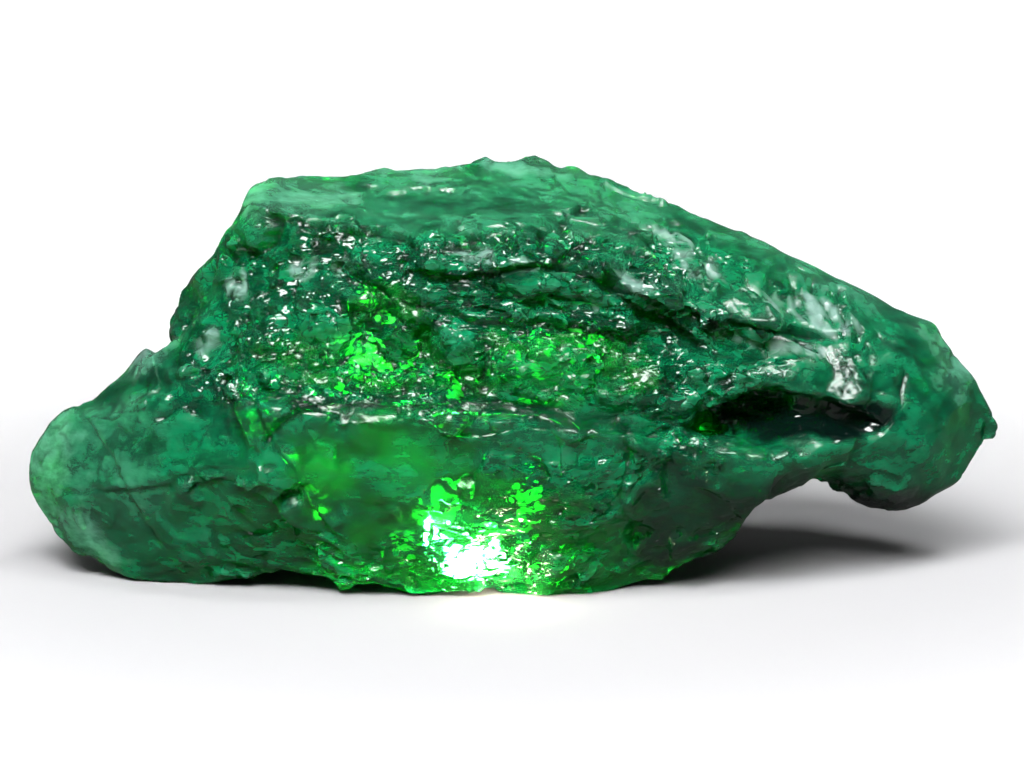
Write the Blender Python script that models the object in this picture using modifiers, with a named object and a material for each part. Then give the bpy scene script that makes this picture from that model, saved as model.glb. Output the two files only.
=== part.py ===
"""Raw emerald crystal: one broken mass of translucent green beryl, lying on its cleaved underside.

Metres, +Z up. +X runs along the crystal's length, -Y is its front. The origin is on the resting
plane, under the middle of the mass. The body is a union of faceted lumps, each the convex hull of
its own corners, with conchoidal scars scooped out of it and splinters wedged off. The fused mass is
then broken up into small fracture facets, reduced to a light mesh and cut flat where it rests.
"""

import math
import random

import bmesh
import bpy
from mathutils import Euler, Matrix, Vector, kdtree

LENGTH = 0.110  # the real crystal from tip to tip: the finished mass is brought to it
UNIT = 0.001  # one drawn millimetre, in which the corners, scars and pitches below are given

# Corners of each lump: across, depth and height.
CORE = [
    (-28.5, 2, 44.5), (-19, 5, 44.2), (-7, 7, 45.3), (2.5, 8, 46), (10, 7, 44), (20.5, 6, 40.2), (32, 4, 35),
    (-29.5, -3, 42.5), (-23.5, -8, 41), (-12.5, -10, 40), (1, -10.5, 39.5), (14, -9, 36.5), (28, -6, 32),
    (-27.5, -14, 24), (-14.5, -17, 23.5), (-3.5, -17.5, 23.5), (9.5, -16.5, 22.5), (19.5, -12.5, 23),
    (-24, -8, 7.5), (15.5, -6, 9), (-28, 12, 12), (18, 14, 12), (-27, 10, 37), (-12, 14, 36.5), (4, 15.5, 37),
    (18, 14, 34), (30, 11, 29),
]
BROW = [
    (-12, -9.5, 40.5), (1, -10.5, 40), (14, -9, 37), (26, -6.5, 33), (-9, -13.5, 37.5), (-3.5, -14.3, 36.8),
    (5.5, -14.3, 37.6), (9.5, -14.4, 36.3), (15, -14, 33.8), (21, -13, 32.6), (30, -10.6, 29.7),
    (-6, -8, 34), (24, -6, 30),
]
FRONT_BAND = [
    (-27, -17, 24), (-15.5, -20, 24), (-3.5, -21.5, 23.3), (9.5, -19, 21), (17, -14.5, 17.5),
    (-27.5, -17, 15), (9.5, -18, 13), (-28, -9, 2), (-16.5, -11.5, 1.5), (-8, -11.5, 0.3),
    (-1.5, -11.5, 0), (3.5, -10.5, -1), (11, -8.5, -1), (17, -7, 0.5), (20.5, -8, 5.5), (0, 8, -1),
    (14, 9, -1), (-12, 6, 1), (-20, 0, 12),
]
LEFT_FLANK = [
    (-29.5, -1, 44), (-30.5, -1, 42.5), (-32.5, -2, 39.5), (-33.5, -3, 36.5), (-35.5, -4, 33), (-37, -4.5, 30),
    (-39, -5, 27), (-41, -4.5, 24.5), (-27.5, -15, 24), (-33, -12.5, 23), (-37, -8.5, 22), (-22, -8, 30),
    (-26, 4, 42), (-28, 6, 24),
]
LEFT_BACK = [
    (-33, 2, 38), (-35.5, 5, 35), (-37, 6, 32.5), (-38.5, 7, 30), (-39, 6, 26.5), (-39, 11, 28), (-40, 11, 23),
    (-30, 12, 38), (-28, 14, 30), (-30, 2, 30), (-36, 2, 22), (-26, 4, 40), (-39, 10, 14), (-28, 13, 12),
]
LEFT_LOBE = [
    (-40.5, -1, 24.8), (-41.5, 0, 24.5), (-45, 0, 22.5), (-48.5, -1, 19.5), (-51, 0, 18), (-53, -0.5, 16),
    (-54.5, 0, 13.5), (-55, 0, 11.5), (-55, 0, 9), (-53.5, -1, 6), (-52, -2, 4), (-47, -4, 1),
    (-43.5, -4.5, -1), (-39.5, -5, -1), (-29.5, -8, 0), (-23, -10, 2), (-40.5, -9, 21), (-36, -13.5, 12),
    (-27.5, -16, 23), (-24.5, -16, 11.5), (-45.5, -9, 10), (-52, 6, 12), (-48, 9, 5), (-40, 7, -1),
    (-22, 8, 2), (-42, 10, 20), (-32, -12.5, 23.5),
]
RIGHT_ARM = [
    (20.5, 6, 40), (32, 4, 35), (39, 3, 32), (48, 2, 27), (52, 1, 22.5), (55.5, 1, 15.8), (54.5, 1, 14.5),
    (51.5, 0, 11), (48, -1, 9), (45, -2, 7.6), (41, -2, 7.4), (33.5, 2, 7.5), (21, -12, 22.5), (30, -11.5, 22.5),
    (38, -9.5, 22.5), (28, -6, 32), (37, -4, 30.5), (44, -8, 16.5), (41.5, -8, 12.5), (47, -6.5, 20.5),
    (42, 13, 26), (50, 9, 16), (42, 11, 9), (24, 12, 12),
]
FLANGE = [
    (15, -14.5, 18), (21, -15, 18.3), (26, -15.5, 16.3), (32, -13.5, 17), (41.5, -9, 17), (17, -9, 2.5),
    (20.5, -10, 5), (25, -13, 9.5), (32, -11.5, 13), (39, -8, 14), (14, -14, 11), (16, 2, 4), (34, 2, 10),
    (12, 0, 16),
]
REAR = [
    (-27, 11, 35), (-12, 16, 35), (4, 17.5, 36), (20, 15, 32.5), (35, 11, 28), (-38, 12, 12),
    (-33, 15, 24), (-15, 21.5, 24), (1, 22.5, 19), (18, 20.5, 22), (38, 14, 17), (-27, 12, 4),
    (-8, 15, 2.5), (14, 13, 2.5), (30, 14, 7), (-20, -4, 20), (16, -4, 24), (-22, -3, 4), (14, -4, 3),
]
LUMPS = {
    "brow": BROW, "front_band": FRONT_BAND, "left_flank": LEFT_FLANK, "left_back": LEFT_BACK,
    "left_lobe": LEFT_LOBE, "right_arm": RIGHT_ARM, "flange": FLANGE, "rear": REAR,
}

# Splinters wedged off the mass, as hulls that cut.
ALCOVE = [
    (-27, -26, 24.6), (-23, -26, 30.5), (-15, -26, 35), (-7, -26, 33), (-2.5, -26, 24.2), (-24.5, -15, 25.2),
    (-21, -12.5, 29), (-16, -11.3, 32), (-9, -11.5, 31), (-5, -14, 25), (-14, -10.3, 26),
]
SPLINTERS = {"alcove": ALCOVE}

# Conchoidal scoops: centre, radii and turn in degrees.
SCARS = {
    "hollow": ((27.5, -14, 19.9), (6.6, 11, 2.9), (0, 2, 0)),
    "hollow_end": ((35.5, -11.5, 19.6), (7.5, 6, 2.0), (0, 8, 0)),
    "back_scar": ((-17, 25, 33), (14, 9, 9), (0, 14, 0)),
    "back_flake": ((12, 27, 28), (15, 9, 7), (0, -18, 0)),
    "back_hollow": ((24, 23, 9), (13, 9, 7), (0, -20, 0)),
    "back_foot": ((-14, 24, 6), (13, 9, 7), (0, 10, 0)),
    "end_scar": ((-50, 17, 25), (10, 11, 12), (0, 20, 0)),
    "under_arm": ((36, 4, -2), (17, 16, 10), (0, -8, 0)),
}

# Where cleavage left the skin smooth: centre, radii, and the share of the fracture relief kept there.
SMOOTH = {
    "top_bevel": ((-10, -2, 44), (25, 10, 5.5), 0.25),
    "shoulder": ((33, 4, 35.5), (26, 9, 7), 0.35),
    "lobe": ((-43, -4, 10), (17, 15, 14), 0.35),
    "band": ((-8, -18, 13), (26, 11, 10.5), 0.4),
    "arm": ((46, 0, 17), (14, 15, 13), 0.35),
    "flange": ((30, -13, 13), (14, 6, 6), 0.4),
    "left_ridge": ((-37, -4, 31), (5, 7, 14), 0.2),
    "back": ((4, 21, 24), (30, 10, 16), 0.6),
}

FUSE_PITCH = 0.8  # at which the lumps fuse
SKIN_PITCH = 0.6  # of the broken skin
GROUND_SIDE, GROUND_DEPTH = 200, 10  # the block that cuts the feet flat
TRIANGLES = 9000


def relief_share(point):
    """How much of the fracture relief a point keeps, from 1 on hackly skin down to a smooth zone's share."""
    share = 1.0
    for centre, radii, least in SMOOTH.values():
        away = math.sqrt(sum(((p / UNIT - c) / r) ** 2 for p, c, r in zip(point, centre, radii)))
        fade = min(1.0, max(0.0, (away - 0.75) / 0.35))
        share = min(share, least + (1.0 - least) * fade)
    return share


class Fracture:
    """One scale of broken facets: cells of a set pitch, each tilted and stepped at random."""

    def __init__(self, pitch, step, tilt, seed):
        self.pitch, self.step, self.tilt = Vector(pitch), step, tilt
        self.dice = random.Random(seed)

    def cells(self, points):
        """Scatters a cell wherever the surface runs, with its own step and tilt."""
        taken = {}
        for point in points:
            taken.setdefault(tuple(math.floor(c / p) for c, p in zip(point, self.pitch)), None)
        for key in sorted(taken):
            jitter = [self.dice.uniform(0.1, 0.9) for _ in range(3)]
            centre = Vector((k + j) * p for k, j, p in zip(key, jitter, self.pitch))
            lean = Vector(self.dice.gauss(0, self.tilt) for _ in range(3))
            taken[key] = (centre, self.dice.gauss(0, self.step), lean)
        return list(taken.values())

    def apply(self, mesh):
        """Moves each vertex along its normal onto the facet of the nearest cell."""
        mesh.normal_update()
        cells = self.cells([vert.co for vert in mesh.verts])
        tree = kdtree.KDTree(len(cells))
        for index, (centre, _, _) in enumerate(cells):
            tree.insert(Vector(c / p for c, p in zip(centre, self.pitch)), index)
        tree.balance()
        moves = []
        for vert in mesh.verts:
            _, index, _ = tree.find(Vector(c / p for c, p in zip(vert.co, self.pitch)))
            centre, step, lean = cells[index]
            reach = max(self.pitch) * self.tilt
            slope = max(-reach, min(reach, lean.dot(vert.co - centre)))
            moves.append(vert.normal * (step + slope) * relief_share(vert.co))
        for vert, move in zip(mesh.verts, moves):
            vert.co += move


def fracture_scales():
    """Coarse cleavage steps first, then the hackles on them, which run long across the crystal."""
    return [
        Fracture([9 * UNIT, 6 * UNIT, 5 * UNIT], 0.35 * UNIT, 0.10, seed=11),
        Fracture([4 * UNIT, 3 * UNIT, 2.2 * UNIT], 0.22 * UNIT, 0.16, seed=23),
    ]


def clear_scene():
    """Takes away whatever the file held."""
    for old in list(bpy.data.objects):
        bpy.data.objects.remove(old)


def new_collection(name, hidden=False):
    """A collection in the scene, left out of renders when it only holds helpers."""
    made = bpy.data.collections.new(name)
    made.hide_render = hidden
    bpy.context.scene.collection.children.link(made)
    return made


def as_object(name, shape, collection):
    """Stores a bmesh as a named object."""
    mesh = bpy.data.meshes.new(name)
    shape.to_mesh(mesh)
    shape.free()
    made = bpy.data.objects.new(name, mesh)
    collection.objects.link(made)
    return made


def make_helper(helper):
    """Marks an object as a cutter or a building block that isn't itself a piece."""
    helper.hide_render = True
    helper.display_type = "WIRE"
    return helper


def faceted_lump(name, corners, collection):
    """The convex hull of some corners, whose flat faces are cleavage and fracture planes."""
    shape = bmesh.new()
    for corner in corners:
        shape.verts.new(Vector(corner) * UNIT)
    hull = bmesh.ops.convex_hull(shape, input=shape.verts)
    inside = [item for item in hull["geom_interior"] if isinstance(item, bmesh.types.BMVert)]
    bmesh.ops.delete(shape, geom=inside, context="VERTS")
    bmesh.ops.recalc_face_normals(shape, faces=shape.faces)
    return make_helper(as_object(name, shape, collection))


def scoop(name, centre, radii, turn, collection):
    """An ellipsoid that scoops a conchoidal scar."""
    shape = bmesh.new()
    bmesh.ops.create_icosphere(shape, subdivisions=4, radius=1.0)
    spin = Euler([math.radians(angle) for angle in turn]).to_matrix().to_4x4()
    stretch = Matrix.Diagonal((*(radius * UNIT for radius in radii), 1.0))
    shape.transform(Matrix.Translation(Vector(centre) * UNIT) @ spin @ stretch)
    return make_helper(as_object(name, shape, collection))


def ground_block(collection):
    """A slab under the resting plane, which cuts the feet flat."""
    shape = bmesh.new()
    bmesh.ops.create_cube(shape, size=1.0)
    side, depth = GROUND_SIDE * UNIT, GROUND_DEPTH * UNIT
    shape.transform(Matrix.Translation((0, 0, -depth / 2)) @ Matrix.Diagonal((side, side, depth, 1.0)))
    return make_helper(as_object("ground", shape, collection))


def boolean(target, operation, collection):
    """Joins or cuts the target with everything in a collection."""
    cut = target.modifiers.new(operation.title(), "BOOLEAN")
    cut.operation = operation
    cut.operand_type = "COLLECTION"
    cut.collection = collection
    cut.solver = "EXACT"


def skin(target, pitch):
    """Wraps the target in one closed skin of even faces."""
    wrap = target.modifiers.new("Skin", "REMESH")
    wrap.mode = "VOXEL"
    wrap.voxel_size = pitch * UNIT


def applied(target):
    """The target's mesh with its modifiers worked in."""
    graph = bpy.context.evaluated_depsgraph_get()
    mesh = bpy.data.meshes.new_from_object(target.evaluated_get(graph))
    target.modifiers.clear()
    target.data = mesh
    return mesh


def break_up(mesh):
    """Gives the fused mass its fracture facets."""
    shape = bmesh.new()
    shape.from_mesh(mesh)
    for scale in fracture_scales():
        scale.apply(shape)
    shape.to_mesh(mesh)
    shape.free()


def to_size(mesh):
    """Brings the mesh to the crystal's real length, with the origin under the middle of its box."""
    lows = [min(vert.co[axis] for vert in mesh.vertices) for axis in range(3)]
    highs = [max(vert.co[axis] for vert in mesh.vertices) for axis in range(3)]
    middle = Vector(((lows[0] + highs[0]) / 2, (lows[1] + highs[1]) / 2, 0.0))
    mesh.transform(Matrix.Scale(LENGTH / (highs[0] - lows[0]), 4) @ Matrix.Translation(-middle))


def emerald():
    """Deep green beryl, glassy where it is broken."""
    material = bpy.data.materials.new("emerald_beryl")
    material.use_nodes = True
    shader = material.node_tree.nodes["Principled BSDF"]
    shader.inputs["Base Color"].default_value = (0.01, 0.16, 0.06, 1.0)
    shader.inputs["Roughness"].default_value = 0.28
    shader.inputs["Metallic"].default_value = 0.0
    shader.inputs["IOR"].default_value = 1.58
    return material


def main():
    clear_scene()
    piece = new_collection("raw_emerald_crystal")
    lumps = new_collection("lumps", hidden=True)
    scars = new_collection("scars", hidden=True)
    ground = new_collection("ground_cut", hidden=True)
    for name, corners in LUMPS.items():
        faceted_lump(name, corners, lumps)
    for name, corners in SPLINTERS.items():
        faceted_lump(name, corners, scars)
    for name, (centre, radii, turn) in SCARS.items():
        scoop(name, centre, radii, turn, scars)
    ground_block(ground)

    crystal = faceted_lump("emerald_crystal", CORE, piece)
    crystal.hide_render = False
    crystal.display_type = "TEXTURED"
    boolean(crystal, "UNION", lumps)
    boolean(crystal, "DIFFERENCE", scars)
    skin(crystal, FUSE_PITCH)
    break_up(applied(crystal))
    skin(crystal, SKIN_PITCH)
    faces = 2 * len(applied(crystal).polygons)
    lighter = crystal.modifiers.new("Lighten", "DECIMATE")
    lighter.ratio = TRIANGLES / faces
    boolean(crystal, "DIFFERENCE", ground)
    to_size(applied(crystal))
    crystal.data.materials.append(emerald())


main()
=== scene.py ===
"""Looks of the raw emerald crystal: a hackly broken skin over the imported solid, and its beryl.

Metres, +Z up, -Y out of the crystal's front. Sizes inside the classes are in millimetres, named in
the crystal's own frame, and turned to metres where a mesh or a lamp is made.
"""

from __future__ import annotations

import itertools
import logging
import math
from dataclasses import dataclass
from enum import Enum

import bmesh
import bpy
import numpy as np
from mathutils import Euler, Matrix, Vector, kdtree


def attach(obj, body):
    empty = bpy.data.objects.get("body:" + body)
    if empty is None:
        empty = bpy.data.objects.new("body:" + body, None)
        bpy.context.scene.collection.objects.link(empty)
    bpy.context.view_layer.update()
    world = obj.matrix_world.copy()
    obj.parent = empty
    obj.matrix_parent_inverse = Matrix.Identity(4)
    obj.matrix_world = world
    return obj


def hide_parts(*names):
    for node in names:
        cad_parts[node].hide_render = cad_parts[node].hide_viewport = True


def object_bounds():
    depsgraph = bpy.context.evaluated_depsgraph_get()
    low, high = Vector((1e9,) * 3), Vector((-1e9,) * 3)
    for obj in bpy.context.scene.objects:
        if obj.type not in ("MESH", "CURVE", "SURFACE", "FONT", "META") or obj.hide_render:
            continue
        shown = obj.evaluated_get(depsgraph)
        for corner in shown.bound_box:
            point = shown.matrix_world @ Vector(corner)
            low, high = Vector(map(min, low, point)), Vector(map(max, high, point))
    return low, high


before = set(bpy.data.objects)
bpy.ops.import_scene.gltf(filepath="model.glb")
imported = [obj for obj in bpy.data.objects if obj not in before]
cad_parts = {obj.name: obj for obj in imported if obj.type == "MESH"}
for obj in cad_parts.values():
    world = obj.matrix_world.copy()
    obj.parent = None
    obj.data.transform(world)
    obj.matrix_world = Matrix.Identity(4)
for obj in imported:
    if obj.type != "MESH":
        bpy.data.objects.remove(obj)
CAD_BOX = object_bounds()

MM = 0.001
NODE = "emerald_crystal"
SLOT = "emerald_beryl"
HASH_STEPS = (73856093, 19349663, 83492791)
HASH_SEED = 2654435761
HASH_STIR = 0x45D9F3B
HASH_MOST = 0xFFFFFFFF
LAYER_FALL = 0.6
log = logging.getLogger("crystal")

Array = np.ndarray
Mesh = bpy.types.Mesh
Tree = bpy.types.NodeTree
Node = bpy.types.Node
Socket = bpy.types.NodeSocket
Given = dict[str | int, object]
Pair = tuple[float, float]
Triple = tuple[float, float, float]


def cell_random(cells: Array, seed: int) -> Array:
    """Steady random numbers for whole-number cells.

    Args:
        cells: Whole-number cell places, one row of three each.
        seed: Picks one of many unlike sequences.

    Returns:
        One number from 0 to 1 for each cell.
    """
    mixed = np.bitwise_xor.reduce(cells.astype(np.int64) * HASH_STEPS, axis=1)
    mixed = (mixed ^ (seed * HASH_SEED)) & HASH_MOST
    for _ in range(2):
        mixed = ((mixed ^ (mixed >> 16)) * HASH_STIR) & HASH_MOST
    return (mixed ^ (mixed >> 16)) / HASH_MOST


def smooth_noise(points: Array, pitch: float, seed: int) -> Array:
    """Smoothly changing noise.

    Args:
        points: Places in millimetres.
        pitch: The distance over which it changes, in millimetres.
        seed: Picks one of many unlike fields.

    Returns:
        One number from -1 to 1 for each place.
    """
    at = points / pitch
    base = np.floor(at)
    part = at - base
    part = part * part * (3 - 2 * part)
    total = np.zeros(len(points))
    for corner in itertools.product((0, 1), repeat=3):
        weight = np.prod(np.where(corner, part, 1 - part), axis=1)
        total += weight * cell_random(base + corner, seed)
    return 2 * total - 1


def fade(value: Array, start: float, end: float) -> Array:
    """Eases from 0 at start to 1 at end, whichever is larger."""
    share = np.clip((value - start) / (end - start), 0, 1)
    return share * share * (3 - 2 * share)


def layered_noise(points: Array, pitch: float, seed: int, layers: int = 4) -> Array:
    """Noise with finer and weaker layers on top.

    Args:
        points: Places in millimetres.
        pitch: The distance over which its coarsest layer changes, in millimetres.
        seed: Picks one of many unlike fields.
        layers: How many layers it has.

    Returns:
        One number from -1 to 1 for each place.
    """
    total = np.zeros(len(points))
    for layer in range(layers):
        total += LAYER_FALL**layer * smooth_noise(points, pitch / 2**layer, seed + layer)
    return total / sum(LAYER_FALL**layer for layer in range(layers))


def unit(vectors: Array) -> Array:
    """The vectors at length 1."""
    return vectors / np.maximum(np.linalg.norm(vectors, axis=-1, keepdims=True), 1e-9)


def vectors_of(mesh: Mesh, what: str) -> Array:
    """Reads one vector of each vertex.

    Args:
        mesh: The mesh.
        what: The vector's name, co or normal.

    Returns:
        One row for each vertex.
    """
    flat = np.empty(3 * len(mesh.vertices), np.float32)
    mesh.vertices.foreach_get(what, flat)
    return flat.reshape(-1, 3).astype(float)


def turning(degrees: float) -> Array:
    """The matrix that turns rows of places about the line from front to back."""
    return np.array(Euler((0, math.radians(degrees), 0)).to_matrix())


@dataclass(frozen=True)
class Zone:
    """A region of the skin, as an ellipsoid with a ragged border, in millimetres."""

    centre: Triple
    radii: Triple
    turn: float = 0.0

    def away(self, points: Array) -> Array:
        """The distance of each place from the centre, in radii."""
        return np.linalg.norm((points - self.centre) @ turning(self.turn) / self.radii, axis=1)


@dataclass(frozen=True)
class Region:
    """Several zones taken together, one row for each: its centre, its radii and its turn."""

    zones: tuple[tuple[float, ...], ...]
    ragged: float = 0.25
    border: Pair = (0.75, 1.1)

    def share(self, points: Array, grain: Array | float = 0.0) -> Array:
        """How much each place belongs to the region.

        Args:
            points: Places in millimetres.
            grain: Noise from -1 to 1 that makes the border ragged.

        Returns:
            1 well inside, 0 outside.
        """
        zones = [Zone(row[:3], row[3:6], *row[6:]) for row in self.zones]
        away = np.min([zone.away(points) for zone in zones], axis=0)
        return 1 - fade(away + self.ragged * grain, *self.border)


# Where the beryl cleaved clean, or was rubbed smooth.
SMOOTH = Region((
    (-10, -3, 44, 24, 11, 6), (10, -1, 42.3, 15, 10, 5.5), (34, 3, 35, 28, 8, 5, 26),
    (-42, -6, 12, 17, 16, 14), (-18, -18, 15, 17, 8, 9.5), (47, -1, 18, 12, 15, 12),
    (3, -18, 20, 17, 8, 3.5), (28, -12, 12, 12, 7, 5), (15, -13, 9, 7, 8, 8), (26, -8, 33, 8, 8, 3.5, 26),
    (-39.5, -4, 28, 3.5, 9, 11, 35), (41, -6, 22, 16, 12, 12), (30, -12, 15, 12, 8, 8),
    (34, -8, 29, 12, 9, 5, 15), (-28, -5, 40.5, 5, 6, 3), (-33, -16, 16, 12, 9, 9),
    (16, 4, 42, 7, 9, 4, 20),
))
# The skyline, which is calmer than the front.
CREST = Region((
    (16, 4, 42, 7, 9, 3.5, 20), (-40, 9, 27, 6, 9, 12, 25), (-12, 5, 46, 24, 7, 2.5),
    (30, 4, 38, 30, 7, 2.5, 27), (-39, -2, 29, 5, 14, 13, 35),
))
# The kinds of broken beryl, each struck with chips of its own.
HACKLY = Region(((-19, -11, 35, 14, 10, 7), (-31, -9, 31, 6, 8, 6), (-26, -8, 37.5, 5, 8, 3.5)))
STREAKS = Region(((2, -13, 34, 14, 8, 5), (4, -9, 38.5, 12, 8, 3)))
COMBED = Region(((19, -4, 37, 4.5, 9, 4, 20), (34, -4, 31, 5, 8, 3.5, 20)))
GLASSY = Region(((-17, -14, 28, 11, 8, 4.5), (-3, -14, 7, 15, 9, 8)))
BLOCKY = Region(((5, -14, 27.5, 15, 9, 4.5), (15, -6, 40, 10, 9, 4), (-2, -12, 40.5, 9, 6, 2)))
# Faint cloud over the clean faces, and the mint of the thin bevels and ends, also painted light on the top.
CLOUDY_AND_LIT = Region((
    (-10, -3, 44, 24, 11, 5), (34, 4, 36, 30, 9, 3.5, 26), (10, -1, 42, 13, 9, 4.5), (-45, -6, 14, 9, 9, 9),
))
MINT_AND_LIT = Region((
    (-25.5, -3, 44, 7.5, 9, 3), (-13, 2, 46.2, 14, 6, 1.6), (-53.5, -3, 13, 5, 10, 6.5),
    (-50, -5, 5.5, 7, 9, 3.6, 38), (-41, -3, 25.5, 7, 5, 1.8, -42), (9, 4, 46.2, 12, 6, 1.6),
    (33, 6, 38, 24, 6, 2.2, 27), (51, 1, 26, 5, 6, 6, 40),
), ragged=0.4)
# Where the light gets through, where shade is painted, and where pale streaks and painted glints lie.
CLEAR = Region((
    (-17, -14, 27.5, 11, 8, 4), (-4, -14, 8, 15, 10, 9), (5, -15, 27, 14, 9, 4.5),
    (-14, -12, 33, 4.5, 8, 2.5), (-21, -18, 16, 4, 8, 6), (-11, -18, 19, 8, 8, 3.5),
))
# Painted shade on the lower right, the flange and under the arm, and fullest in the arm's hollow.
SHADED = Region(((17.5, -13, 9.5, 6.5, 9, 7), (27, -10, 10, 9, 12, 5), (40, -5, 8, 14, 12, 3)))
DARK = Region(((28, -8, 20, 8.5, 12, 2.8), (37, -8, 19.5, 7, 8, 2.2), (38, 0, 7, 16, 12, 3.5)))
# Pale fracture streaks, and painted glints on the hackly face, the combed patches and the flank's ridge.
PALE_AND_GLINTS = Region((
    (13, -14, 35.6, 2.6, 2.5, 1.1, 12), (8.6, -14, 33, 1.2, 2.5, 1.3, -30),
    (19.5, -5, 36.4, 4.2, 4, 1.5, 26), (34.5, -4, 30.2, 4.2, 4, 1.6, 24), (29, -8.5, 27.8, 8, 2.5, 0.5, 12),
    (-38.5, -4, 30, 9, 6, 1.0, -52), (-23.4, -9, 36.6, 2.0, 4, 1.2, -30),
    (-17.9, -9, 37.1, 1.8, 4, 1.0, -20), (-30.5, -9, 33.8, 1.8, 4, 1.5, -40),
    (-33.8, -9, 28.2, 2.2, 4, 1.5, -40), (-1, -12, 38.2, 6, 4, 0.8, 5), (17, -3, 39, 3, 3, 1.4, 30),
    (28, -5, 32, 3, 3, 0.9, 20),
), ragged=0.5)


@dataclass(frozen=True)
class Facet:
    """A plane that one clean cleavage left: its middle, the way it faces and how far it may reach."""

    centre: Triple
    facing: Triple
    reach: float
    sink: float = 0.3
    deepest: float = 1.4
    share: float = 0.92

    def apply(self, points: Array) -> Array:
        """Cuts the skin down to the plane.

        Args:
            points: Places in millimetres.

        Returns:
            The places, with those that stood proud of the plane brought onto it.
        """
        facing = unit(np.array(self.facing, float))
        middle = self.centre - self.sink * facing
        proud = np.clip((points - middle) @ facing, 0, self.deepest)
        near = 1 - fade(np.linalg.norm(points - middle, axis=1), self.share * self.reach, self.reach)
        return points - (self.share * proud * near)[:, None] * facing


FACETS = tuple(Facet(*row) for row in (
    ((13, -14, 35.5), (-0.15, -0.62, 0.77), 3.4), ((8.5, -13.7, 33), (0.1, -0.70, 0.7), 2.4),
    ((19.5, -5, 36.7), (-0.1, -0.62, 0.78), 5.5), ((34.5, -4.3, 30.3), (-0.1, -0.66, 0.75), 5.5),
    ((25, -16, 16.8), (0.25, -0.62, 0.74), 4.5), ((20.5, -16, 17.5), (-0.35, -0.8, 0.5), 4.0),
    ((27.5, -15.2, 14), (0.1, -0.96, -0.2), 5.5), ((32.5, -11.5, 12.7), (0.3, -0.7, -0.62), 5.0),
    ((20.8, -15.8, 14), (-0.25, -0.96, -0.1), 5.0), ((19, -13, 7), (0.35, -0.86, -0.35), 7.0),
    ((10, -18, 13), (0.25, -0.95, -0.15), 6.0), ((-1, -19, 17), (-0.05, -0.98, -0.05), 7.0),
    ((-13, -18.8, 18), (-0.1, -0.98, 0.1), 7.0), ((-22, -18.5, 17), (-0.2, -0.97, 0.1), 6.0),
    ((-36, -13, 17), (-0.4, -0.88, 0.25), 8.0), ((-46, -7.5, 15), (-0.6, -0.76, 0.25), 7.0),
    ((-42, -9.5, 8), (-0.4, -0.85, -0.3), 8.0), ((-31, -12, 7), (-0.15, -0.9, -0.4), 8.0),
    ((45, -6.5, 20), (0.45, -0.85, 0.25), 7.0), ((50, -3, 15), (0.7, -0.68, -0.15), 6.0),
    ((42, -8, 14), (0.25, -0.9, -0.35), 6.0), ((43, -5, 26.5), (0.3, -0.75, 0.6), 6.0),
    ((27, -8.5, 29.5), (0.1, -0.88, 0.45), 6.5), ((22, -9.5, 33), (0.1, -0.72, 0.7), 5.0),
    ((-36.5, -5.5, 30), (-0.62, -0.68, 0.4), 6.0), ((-33.5, -8, 29), (-0.35, -0.85, 0.4), 5.0),
))


@dataclass(frozen=True)
class Nudge:
    """A soft pull on the skin around a place, in millimetres."""

    centre: Triple
    radii: Triple
    pull: Triple

    def apply(self, points: Array) -> Array:
        """Pulls the skin, most at the middle and not at all past the radii."""
        away = np.linalg.norm((points - self.centre) / self.radii, axis=1)
        return points + (1 - fade(away, 0.0, 1.0))[:, None] * self.pull


NUDGES = tuple(Nudge(*row) for row in (
    ((-12, -19, 25), (20, 9, 5.5), (0, 1.7, -0.3)), ((6, -18, 22.5), (12, 9, 5), (0, 1.0, 0)),
    ((-39.6, -1, 31.5), (4.5, 16, 5), (0.8, 0, -0.7)), ((-39.5, 12, 27), (5, 8, 5), (1.9, 0, 1.0)),
    ((-37, 10, 32.5), (5, 10, 5), (-0.4, 0, 0.2)), ((33, -3, 8), (12, 20, 7), (0, 0, 2.8)),
    ((-54, -2, 5), (6, 16, 6), (0.4, 0, 1.3)), ((-46, -6, 2), (8, 14, 5), (0, 0, 0.9)),
    ((16, -8, 2), (6, 12, 5), (0, 0, 1.4)), ((-28, -10, 0.5), (8, 12, 4), (0, 0, 1.2)),
    ((-46.5, -2, 22), (6, 14, 6), (0, 0, -1.6)), ((-41.5, -2, 25), (4, 14, 4), (0, 0, 1.4)),
    ((-38.5, -3, 29), (4, 14, 6), (1.3, 0, -0.6)), ((-36, -1, 34), (5, 14, 8), (2.2, 0, -0.9)),
    ((-28.5, 0, 44), (6, 14, 5), (0.6, 0, 0.7)), ((50, 0, 29), (8, 14, 9), (0.6, 0, 0.7)),
    ((28, 2, 38), (9, 14, 6), (0, 0, 0.8)), ((-4, 5, 46.5), (7, 12, 4), (0, 0, -0.5)),
))


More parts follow.
